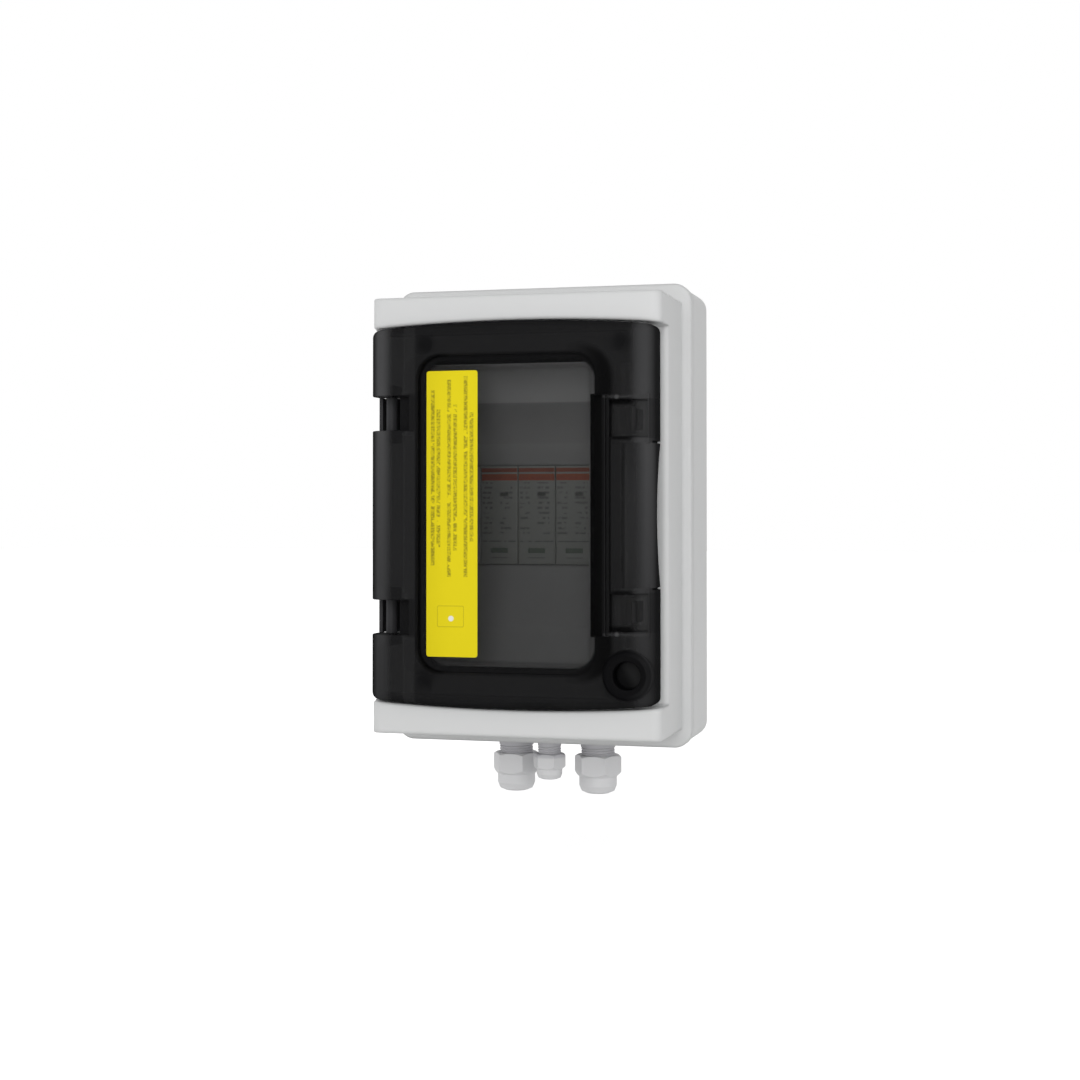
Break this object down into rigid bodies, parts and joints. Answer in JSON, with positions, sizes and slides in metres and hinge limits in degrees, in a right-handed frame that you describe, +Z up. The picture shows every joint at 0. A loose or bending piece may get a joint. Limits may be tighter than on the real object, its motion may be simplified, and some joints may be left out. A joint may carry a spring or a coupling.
{
  "type": "solar combiner box",
  "caption": "Wall-mounted combiner box with a hinged smoked door over rail-mounted surge arrester modules, and cable glands beneath.",
  "frame": {"origin": "middle of the four wall-screw holes, on the flat back that lies on the wall", "axes": "+X to the object's right seen from the front, +Y back into the wall, +Z up"},
  "size_m": [0.14, 0.1009, 0.236],
  "materials": {
    "casing": "fine satin moulding, light grey",
    "smoked": "glossy smoked see-through plastic",
    "rubber": "soft matt seal",
    "foam": "soft light grey foam",
    "gland": "satin light grey nylon",
    "zinc": "bright zinc plating",
    "brass": "plain brass",
    "module": "satin light grey",
    "module_base": "satin dark grey",
    "strip": "printed yellow film",
    "bracket": "satin black nylon",
    "burnished": "burnished dark steel"
  },
  "bodies": {
    "casing": {"base": "casing", "front_cover": "casing", "module_blank": "casing", "cover_gasket": "rubber", "door_gasket": "foam", "cover_screws": "zinc", "rail_screws": "zinc", "terminal_screws": "zinc", "earth_bar_screws": "zinc", "din_rail": "zinc", "terminal_clamps": "brass", "earth_bar": "brass", "earth_bar_support": "module_base", "arrester_base": "module_base", "arrester_cartridge_1": "module", "arrester_cartridge_2": "module", "arrester_cartridge_3": "module", "upper_hinge_bracket": "bracket", "lower_hinge_bracket": "bracket", "upper_catch": "casing", "lower_catch": "casing", "left_gland_body": "gland", "left_gland_washer": "rubber", "left_gland_nut": "gland", "left_gland_seal": "rubber", "left_gland_locknut": "gland", "middle_gland_body": "gland", "middle_gland_washer": "rubber", "middle_gland_nut": "gland", "middle_gland_seal": "rubber", "middle_gland_locknut": "gland", "right_gland_body": "gland", "right_gland_washer": "rubber", "right_gland_nut": "gland", "right_gland_seal": "rubber", "right_gland_locknut": "gland"},
    "door": {"door": "smoked", "label_strip": "strip", "upper_hinge_pin": "burnished", "lower_hinge_pin": "burnished"}
  },
  "joints": [
    {"name": "door_hinge", "type": "hinge", "parent": "casing", "child": "door", "pos_m": [-0.0587, -0.0862, 0], "axis": [0, 0, -1], "range_deg": [0, 110]}
  ]
}
